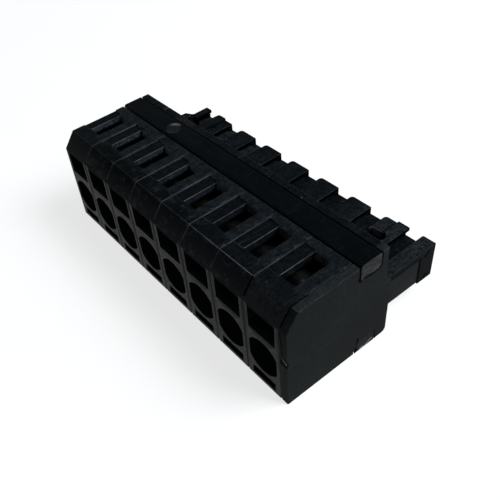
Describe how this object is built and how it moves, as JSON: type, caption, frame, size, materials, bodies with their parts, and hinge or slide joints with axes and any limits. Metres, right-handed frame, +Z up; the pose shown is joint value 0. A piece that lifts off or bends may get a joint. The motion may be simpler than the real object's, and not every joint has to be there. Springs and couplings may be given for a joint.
{
  "type": "pluggable terminal block",
  "caption": "Pluggable terminal block: a row of clamp poles with round wire entries, screwdriver openings, a plug part with coding slots, tie bars and an end plate.",
  "frame": {"origin": "under the middle of the part, on the surface that it rests on", "axes": "+X along the row of poles towards the end plate, -Y out of the wire entry face, +Y the way it plugs in, +Z up"},
  "size_m": [0.0416, 0.0222, 0.0131],
  "materials": {
    "housing_plastic": "fine matt moulded, black",
    "end_plate_plastic": "grained moulded, black",
    "tie_bar_plastic": "smooth moulded, black",
    "tinned_copper": "tinned strip",
    "spring_steel": "rolled strip"
  },
  "bodies": {
    "root": {"pole_housing_1": "housing_plastic", "pole_housing_2": "housing_plastic", "pole_housing_3": "housing_plastic", "pole_housing_4": "housing_plastic", "pole_housing_5": "housing_plastic", "pole_housing_6": "housing_plastic", "pole_housing_7": "housing_plastic", "pole_housing_8": "housing_plastic", "end_plate": "end_plate_plastic", "top_tie_bar": "tie_bar_plastic", "bottom_tie_bar": "tie_bar_plastic", "current_bar_1": "tinned_copper", "current_bar_2": "tinned_copper", "current_bar_3": "tinned_copper", "current_bar_4": "tinned_copper", "current_bar_5": "tinned_copper", "current_bar_6": "tinned_copper", "current_bar_7": "tinned_copper", "current_bar_8": "tinned_copper", "clamp_spring_1": "spring_steel", "clamp_spring_2": "spring_steel", "clamp_spring_3": "spring_steel", "clamp_spring_4": "spring_steel", "clamp_spring_5": "spring_steel", "clamp_spring_6": "spring_steel", "clamp_spring_7": "spring_steel", "clamp_spring_8": "spring_steel"}
  },
  "joints": []
}
